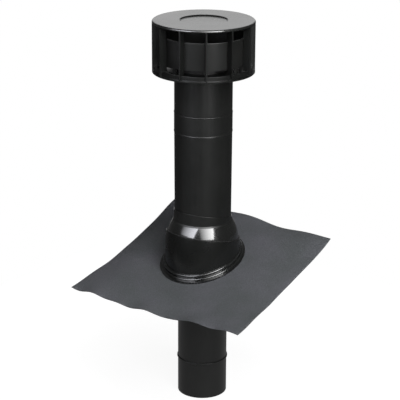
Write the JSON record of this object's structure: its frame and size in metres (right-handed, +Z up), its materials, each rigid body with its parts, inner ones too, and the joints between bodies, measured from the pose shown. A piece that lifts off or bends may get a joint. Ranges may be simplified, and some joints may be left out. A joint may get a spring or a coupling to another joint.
{
  "type": "roof vent terminal",
  "caption": "Roof vent terminal: a ribbed cap on a cased pipe that turns and tilts in a ball flashing with a soft membrane sheet, and a duct spigot below.",
  "frame": {"origin": "centre of the duct spigot's open lower end", "axes": "+Z up along the pipe, +Y up the roof slope, +X along the sheet's level edges"},
  "size_m": [0.4675, 0.3636, 0.857],
  "materials": {
    "gloss_black": "glossy",
    "satin_black": "satin",
    "membrane": "matt, finely textured",
    "seal_rubber": "matt",
    "steel": "zinc plated"
  },
  "bodies": {
    "flashing": {"foot_base": "gloss_black", "mouth_seal": "seal_rubber", "membrane_sheet": "membrane", "clamp_ring": "satin_black", "clamp_screws": "steel"},
    "ball": {"ball_hood": "gloss_black", "ball_cup": "gloss_black", "collar_seal": "seal_rubber"},
    "stack": {"duct_spigot": "satin_black", "spigot_seal": "seal_rubber", "airway_pipe": "satin_black", "lock_ring": "satin_black", "lower_centring_ring": "satin_black", "casing": "satin_black", "coupling_band": "satin_black", "casing_seal": "seal_rubber", "neck_seal": "seal_rubber", "upper_centring_ring": "satin_black", "neck_pipe": "satin_black", "cap_floor": "satin_black", "vent_cage": "satin_black", "deflector_ring": "satin_black", "cap_lid": "satin_black"}
  },
  "joints": [
    {"name": "pitch_tilt", "type": "hinge", "parent": "flashing", "child": "ball", "pos_m": [0, 0, 0.368], "axis": [1, 0, 0], "range_deg": [-12, 13]},
    {"name": "stack_turn", "type": "hinge", "parent": "ball", "child": "stack", "pos_m": [0, 0, 0.368], "axis": [0, 0, 1], "continuous": true}
  ]
}
